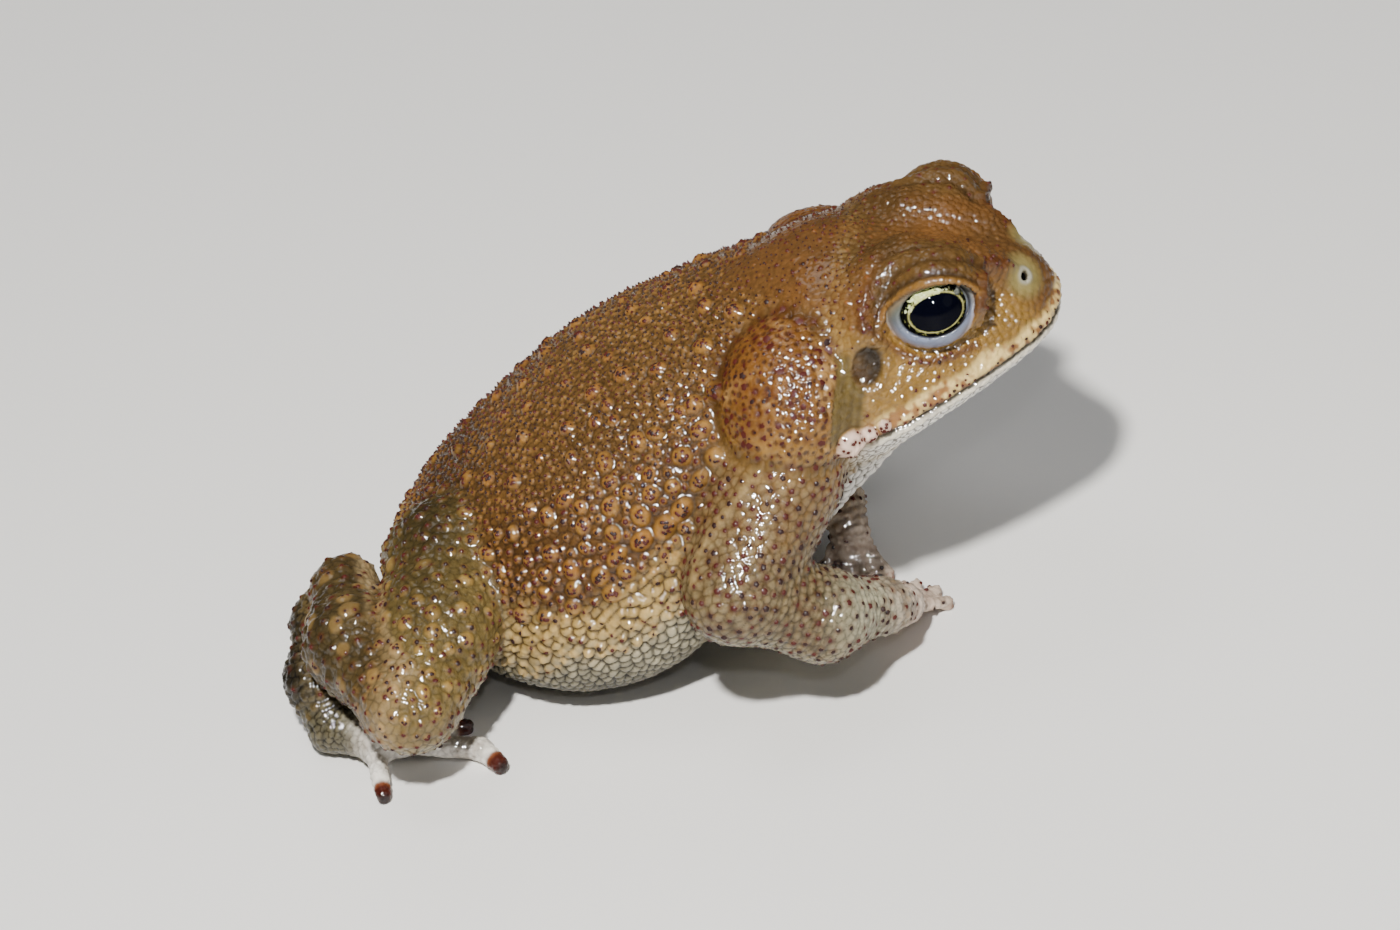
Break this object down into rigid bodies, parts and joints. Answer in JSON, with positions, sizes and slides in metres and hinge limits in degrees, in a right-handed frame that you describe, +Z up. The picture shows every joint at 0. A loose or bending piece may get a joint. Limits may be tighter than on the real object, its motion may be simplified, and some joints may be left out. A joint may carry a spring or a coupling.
{
  "type": "cane toad",
  "caption": "Life-size adult cane toad at rest: squat warty body, raised head with bony ridges and large parotoid glands, hind legs folded.",
  "frame": {"origin": "centre of the base of the bounding box, on the floor that the toad sits on", "axes": "+X towards the snout, +Y to the toad's left, +Z up"},
  "size_m": [0.14, 0.117, 0.0769],
  "materials": {
    "back_skin": "warty, moist, orange-brown",
    "head_skin": "moist, orange-brown with dark ridges",
    "limb_skin": "warty, moist, taupe-brown",
    "pale_skin": "granular, moist, cream-grey",
    "eye": "wet, dark"
  },
  "bodies": {
    "root": {"trunk": "back_skin", "head": "head_skin", "lower_jaw": "pale_skin", "eye_l": "eye", "eye_r": "eye", "parotoid_l": "head_skin", "parotoid_r": "head_skin", "upper_arm_l": "limb_skin", "upper_arm_r": "limb_skin", "forearm_l": "limb_skin", "forearm_r": "limb_skin", "hand_l": "pale_skin", "hand_r": "pale_skin", "thigh_l": "limb_skin", "thigh_r": "limb_skin", "shank_l": "limb_skin", "shank_r": "limb_skin", "tarsus_l": "limb_skin", "tarsus_r": "limb_skin", "foot_l": "pale_skin", "foot_r": "pale_skin"}
  },
  "joints": []
}
